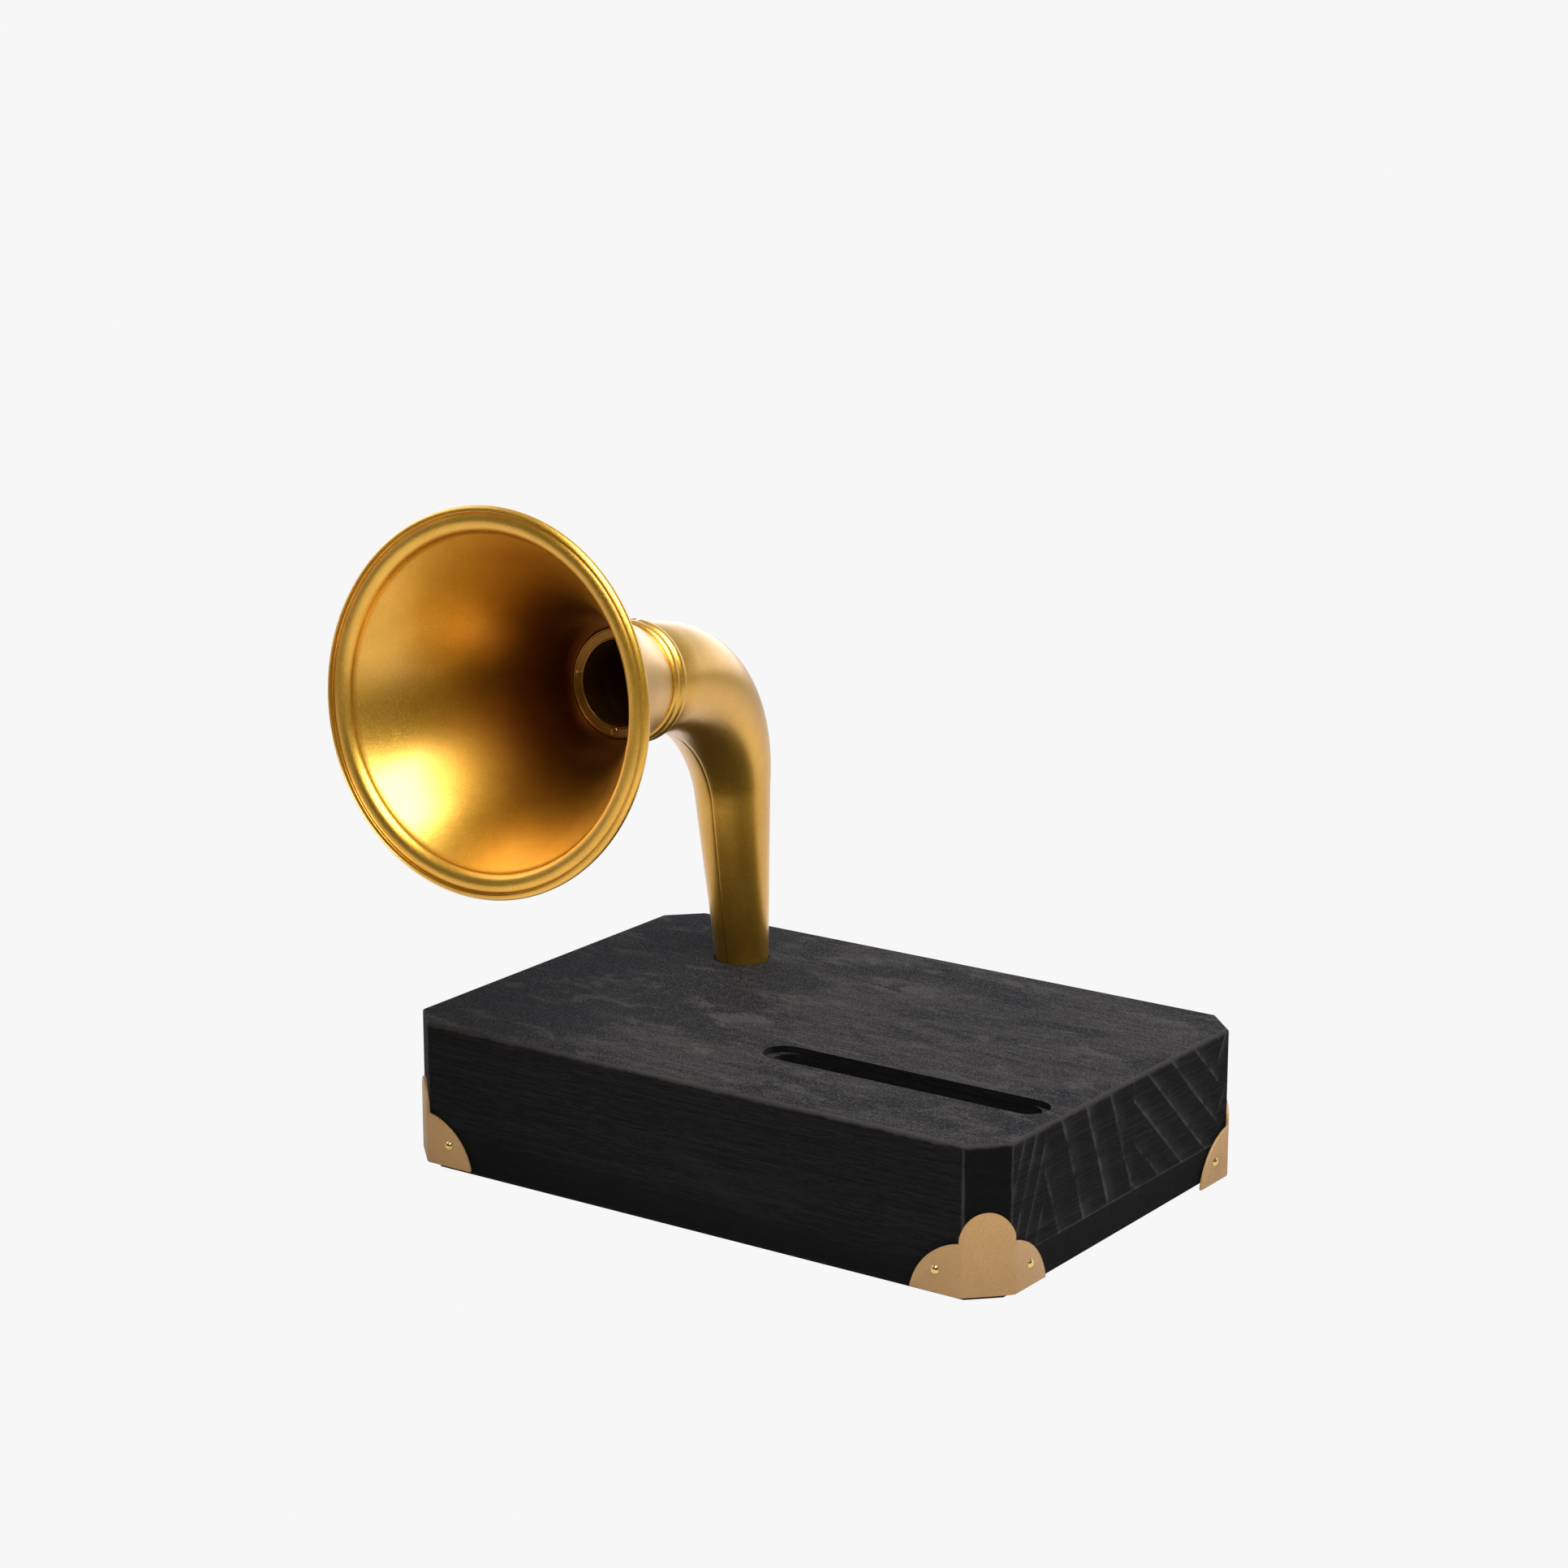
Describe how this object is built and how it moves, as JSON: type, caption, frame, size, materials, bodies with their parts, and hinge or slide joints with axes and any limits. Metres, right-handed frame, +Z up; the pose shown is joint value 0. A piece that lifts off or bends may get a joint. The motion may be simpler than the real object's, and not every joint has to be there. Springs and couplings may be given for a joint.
{
  "type": "acoustic phone amplifier",
  "caption": "Passive phone amplifier: a gramophone-style horn and bell standing in a dark wooden block with a phone slot and bent sheet corner guards.",
  "frame": {"origin": "centre of the felt sheet's underside, on the surface that the block stands on", "axes": "+X along the block's long side, +Y away from the front that the horn faces, +Z up"},
  "size_m": [0.1936, 0.1588, 0.1907],
  "materials": {
    "stained_wood": "black stained, bare grain",
    "felt": "matt felt",
    "gold_paint": "satin gold metallic paint",
    "kraft_sheet": "matt pale gold",
    "nail_brass": "polished"
  },
  "bodies": {
    "base": {"base_board": "stained_wood", "corner_guard_back_left": "kraft_sheet", "corner_guard_back_right": "kraft_sheet", "corner_guard_front_left": "kraft_sheet", "corner_guard_front_right": "kraft_sheet", "felt_base": "felt", "nail_back_left_front": "nail_brass", "nail_back_left_side": "nail_brass", "nail_back_right_front": "nail_brass", "nail_back_right_side": "nail_brass", "nail_front_left_front": "nail_brass", "nail_front_left_side": "nail_brass", "nail_front_right_front": "nail_brass", "nail_front_right_side": "nail_brass", "top_block": "stained_wood"},
    "horn": {"elbow_left_shell": "gold_paint", "elbow_right_shell": "gold_paint", "throat_ring": "gold_paint"},
    "bell": {"bell": "gold_paint", "collar_ring": "gold_paint"}
  },
  "joints": [
    {"name": "horn_swivel", "type": "hinge", "parent": "base", "child": "horn", "pos_m": [-0.051, 0.03375, 0.042], "axis": [0, 0, 1], "continuous": true},
    {"name": "bell_turn", "type": "hinge", "parent": "horn", "child": "bell", "pos_m": [-0.04877, -0.01733, 0.13323], "axis": [0.0434, -0.9935, 0.105], "continuous": true}
  ]
}
